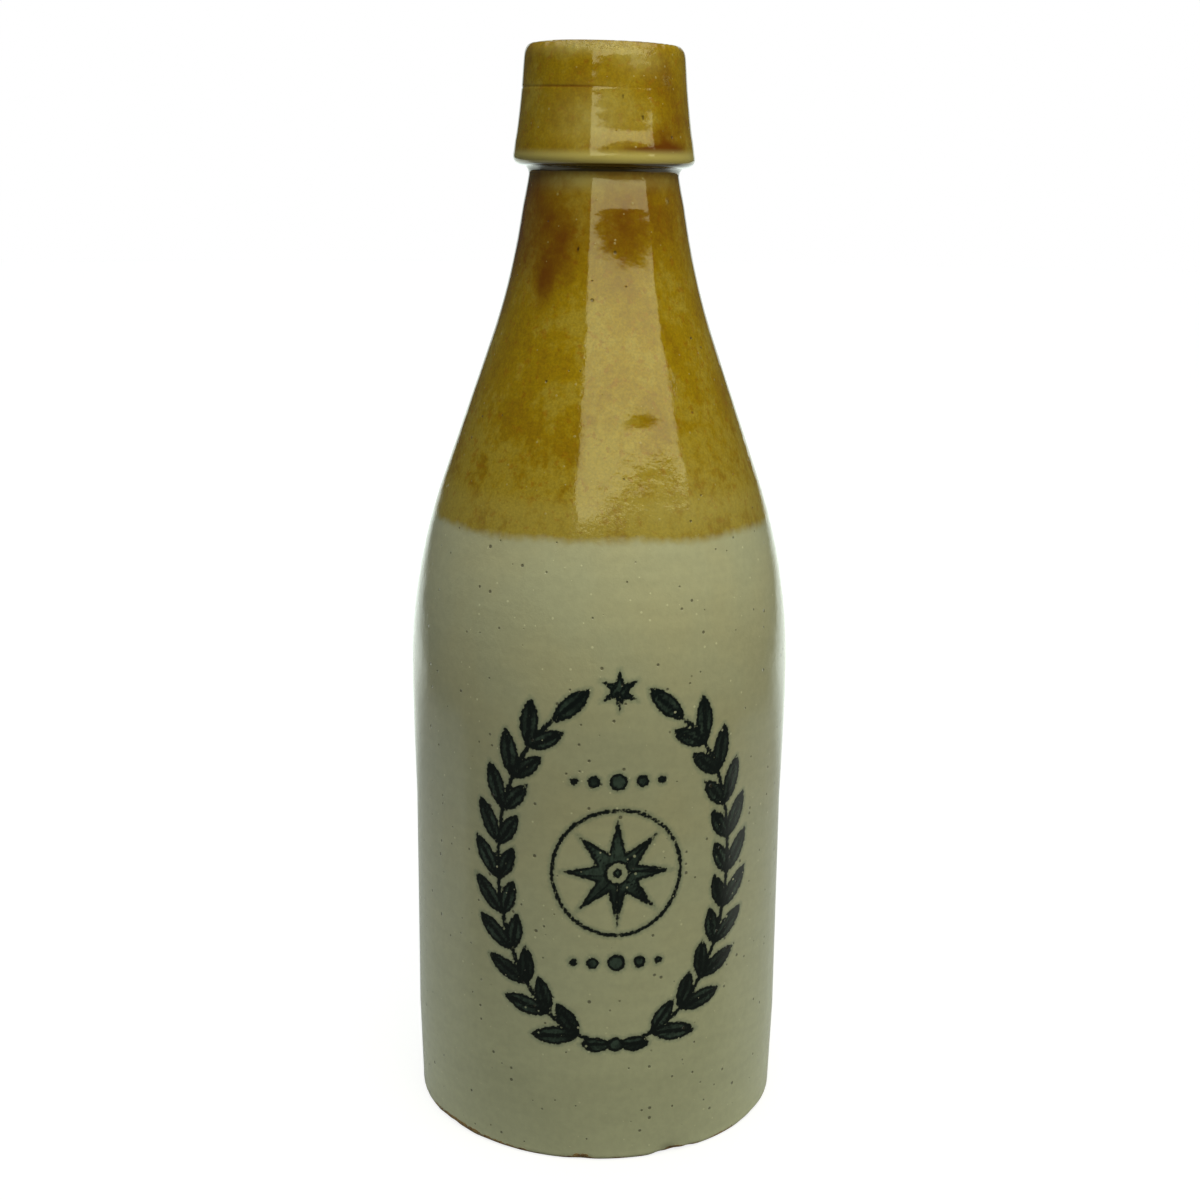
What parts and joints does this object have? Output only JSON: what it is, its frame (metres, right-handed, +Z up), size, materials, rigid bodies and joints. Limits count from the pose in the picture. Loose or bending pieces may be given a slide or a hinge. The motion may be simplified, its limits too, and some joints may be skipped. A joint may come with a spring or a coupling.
{
  "type": "stoneware ginger beer bottle",
  "caption": "Glazed stoneware bottle with a straight body, sloping shoulder, tapered neck and a thick collar round a bore that takes a cork.",
  "frame": {"origin": "centre of the flat base, on the surface that the bottle stands on", "axes": "+Z up the bottle's axis, from the base to the mouth; -Y faces the front that carries the print"},
  "size_m": [0.0734, 0.0734, 0.205],
  "materials": {
    "glazed_stoneware": "clear glaze, cream below and ochre brown from the shoulder up"
  },
  "bodies": {
    "root": {"bottle": "glazed_stoneware"}
  },
  "joints": []
}
